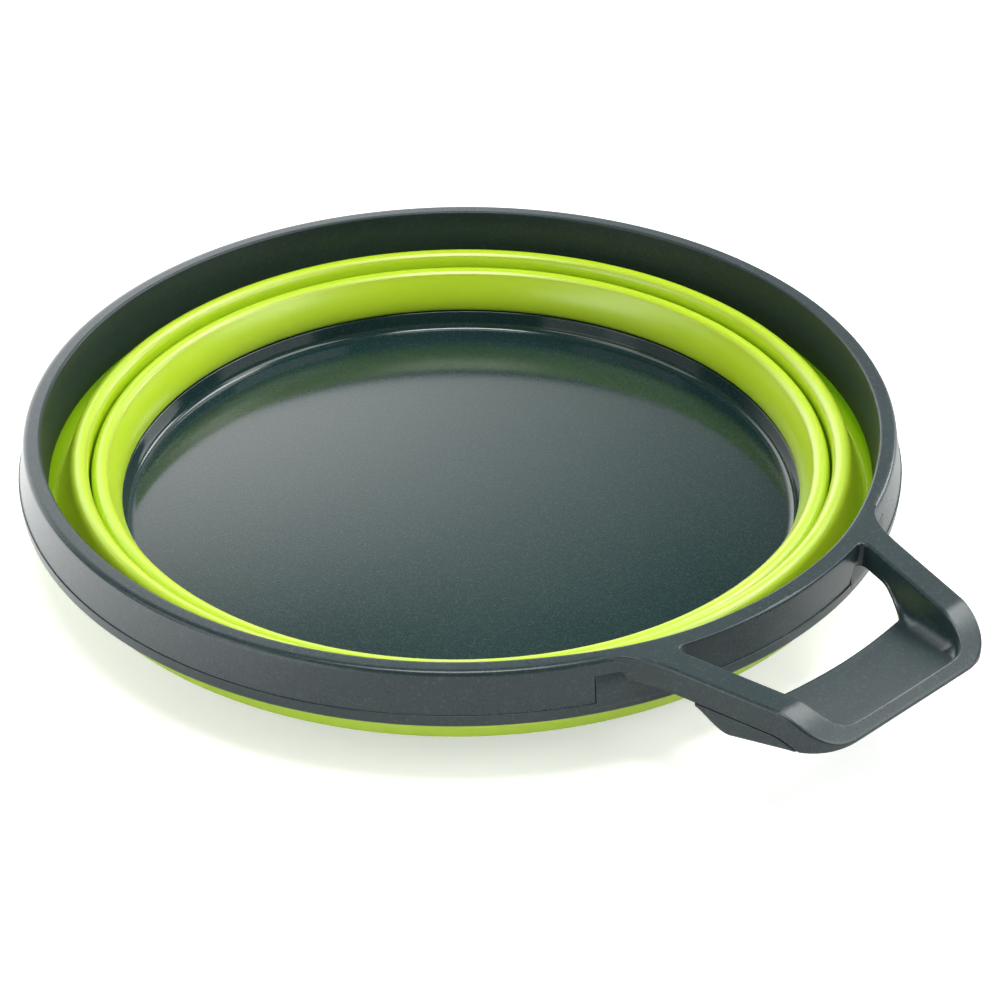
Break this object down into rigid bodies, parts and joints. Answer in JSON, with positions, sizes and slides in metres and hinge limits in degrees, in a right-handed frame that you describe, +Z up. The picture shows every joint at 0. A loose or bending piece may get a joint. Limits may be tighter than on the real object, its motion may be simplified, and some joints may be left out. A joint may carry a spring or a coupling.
{
  "type": "collapsible bowl",
  "caption": "Collapsible camping bowl, folded flat: nylon rim with a finger-loop handle, folding silicone wall and a hard dish-shaped base.",
  "frame": {"origin": "centre of the base's flat underside, on the bowl's axis", "axes": "+Z up along the bowl's axis, +X from the axis along the handle"},
  "size_m": [0.175, 0.1494, 0.021],
  "materials": {
    "rim_nylon": "slate-grey moulded nylon with a fine sandblasted grain",
    "silicone": "satin lime-green silicone, slightly translucent",
    "base_plastic": "dark slate-grey moulded plastic, glossy with a fine grain"
  },
  "bodies": {
    "base": {"base_band": "silicone", "base_plate": "base_plastic"},
    "mid_ring": {"middle_band": "silicone", "lower_fold": "silicone"},
    "rim": {"rim_frame": "rim_nylon", "clamp_ring": "rim_nylon", "finger_web": "rim_nylon", "rim_band": "silicone", "upper_fold": "silicone"}
  },
  "joints": [
    {"name": "lower_unfold", "type": "slide", "parent": "base", "child": "mid_ring", "axis": [0, 0, 1], "range_m": [0, 0.015], "deforming": ["lower_fold"]},
    {"name": "upper_unfold", "type": "slide", "parent": "mid_ring", "child": "rim", "axis": [0, 0, 1], "range_m": [0, 0.0144], "deforming": ["upper_fold"]}
  ]
}
